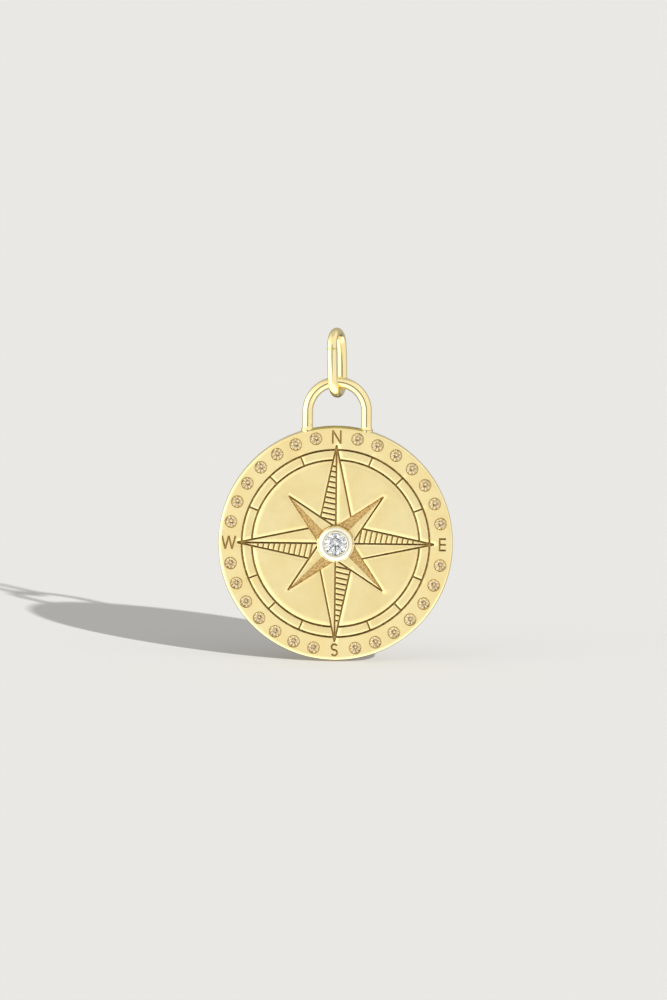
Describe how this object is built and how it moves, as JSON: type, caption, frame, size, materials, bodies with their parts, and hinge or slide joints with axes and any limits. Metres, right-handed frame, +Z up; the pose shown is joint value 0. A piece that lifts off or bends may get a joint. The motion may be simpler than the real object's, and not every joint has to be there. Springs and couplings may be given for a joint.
{
  "type": "compass pendant",
  "caption": "Round gold compass medallion with an engraved rose, letters and small set stones, hung by an arch on an oval link for a chain.",
  "frame": {"origin": "where the pendant hangs: the underside of the link's top wire, above the middle of the arch, where a chain or cord carries it", "axes": "+Z up along the hanging pendant; the engraved face looks along -Y and the plain back along +Y; +X is to the right as seen from the front"},
  "size_m": [0.02, 0.0032, 0.0284],
  "materials": {
    "gold": "polished",
    "clear_stone": "faceted, polished",
    "tinted_stone": "faceted, polished"
  },
  "bodies": {
    "link": {"oval_link": "gold"},
    "medallion": {"medallion": "gold", "center_stone": "clear_stone", "rim_stone_01": "tinted_stone", "rim_stone_02": "tinted_stone", "rim_stone_03": "tinted_stone", "rim_stone_04": "tinted_stone", "rim_stone_05": "tinted_stone", "rim_stone_06": "tinted_stone", "rim_stone_07": "tinted_stone", "rim_stone_08": "tinted_stone", "rim_stone_09": "tinted_stone", "rim_stone_10": "tinted_stone", "rim_stone_11": "tinted_stone", "rim_stone_12": "tinted_stone", "rim_stone_13": "tinted_stone", "rim_stone_14": "tinted_stone", "rim_stone_15": "tinted_stone", "rim_stone_16": "tinted_stone", "rim_stone_17": "tinted_stone", "rim_stone_18": "tinted_stone", "rim_stone_19": "tinted_stone", "rim_stone_20": "tinted_stone", "rim_stone_21": "tinted_stone", "rim_stone_22": "tinted_stone", "rim_stone_23": "tinted_stone", "rim_stone_24": "tinted_stone", "rim_stone_25": "tinted_stone", "rim_stone_26": "tinted_stone", "rim_stone_27": "tinted_stone", "rim_stone_28": "tinted_stone"}
  },
  "joints": [
    {"name": "medallion_swing", "type": "hinge", "parent": "link", "child": "medallion", "pos_m": [0, 0, -0.0038], "axis": [1, 0, 0], "range_deg": [-135, 135]}
  ]
}
